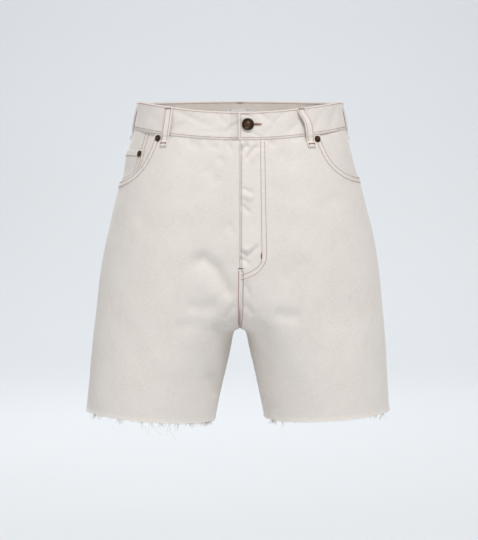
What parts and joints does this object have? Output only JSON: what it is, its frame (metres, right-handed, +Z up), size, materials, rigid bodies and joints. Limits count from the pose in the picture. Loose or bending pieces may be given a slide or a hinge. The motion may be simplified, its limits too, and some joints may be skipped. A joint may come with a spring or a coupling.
{
  "type": "denim shorts",
  "caption": "Off-white rigid denim shorts, high rise and A-line, with scoop pockets, a buttoned fly front, belt loops, patch back pockets and raw frayed hems, filled out hollow.",
  "frame": {"origin": "centre of the waistband ring, at the height of the band's middle at the side seams, where the wearer's waist holds the shorts", "axes": "+Z up, -Y the front with the fly, +X the wearer's left"},
  "size_m": [0.4371, 0.265, 0.4805],
  "materials": {
    "denim": "matte off-white rigid denim twill",
    "label": "plain white woven tape",
    "hardware": "dark antique bronze, satin"
  },
  "bodies": {
    "root": {"front_left": "denim", "back_left": "denim", "yoke_left": "denim", "pocket_left": "denim", "back_pocket_left": "denim", "hem_fringe_left": "denim", "front_right": "denim", "back_right": "denim", "yoke_right": "denim", "pocket_right": "denim", "back_pocket_right": "denim", "hem_fringe_right": "denim", "coin_pocket": "denim", "fly_underlap": "denim", "waistband": "denim", "belt_loop_front_left": "denim", "belt_loop_front_right": "denim", "belt_loop_side_left": "denim", "belt_loop_side_right": "denim", "belt_loop_back": "denim", "back_label": "label", "waist_button": "hardware", "rivet_scoop_left": "hardware", "rivet_scoop_right": "hardware", "rivet_coin": "hardware"}
  },
  "joints": []
}
